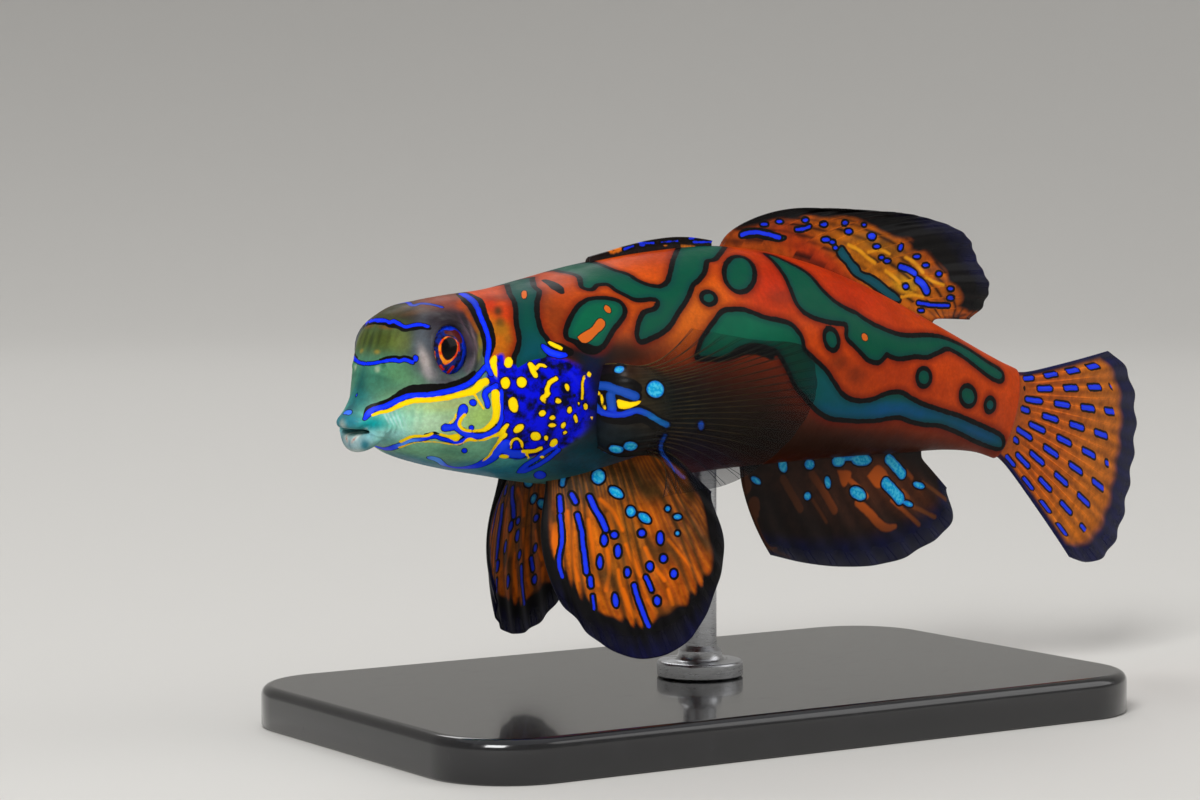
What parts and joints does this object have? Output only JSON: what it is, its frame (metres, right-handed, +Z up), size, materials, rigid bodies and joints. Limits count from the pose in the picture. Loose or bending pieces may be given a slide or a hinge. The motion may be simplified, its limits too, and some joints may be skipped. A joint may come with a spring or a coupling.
{
  "type": "mandarinfish",
  "caption": "Life-size still mandarinfish model with spread fins and folded first back fin, held over a flat plate by one short rod.",
  "frame": {"origin": "centre of the underside of the stand's base", "axes": "+Z up; the fish's head points to -X and its left side faces -Y"},
  "size_m": [0.0646, 0.029, 0.0308],
  "materials": {
    "skin": "smooth scaleless skin, orange with black-edged blue-green bands",
    "fin": "thin rayed membrane, amber with blue spots and a dark edge",
    "eye": "clear glossy eyeball with a blue and red iris",
    "stand": "satin black acrylic plate with a polished edge",
    "rod": "brushed stainless steel"
  },
  "bodies": {
    "root": {"head": "skin", "torso": "skin", "tail_stalk": "skin", "eye_left": "eye", "eye_right": "eye", "fin_dorsal_first": "fin", "fin_dorsal_second": "fin", "fin_anal": "fin", "fin_caudal": "fin", "fin_pectoral_left": "fin", "fin_pectoral_right": "fin", "fin_pelvic_left": "fin", "fin_pelvic_right": "fin", "stand_base": "stand", "stand_rod": "rod"}
  },
  "joints": []
}
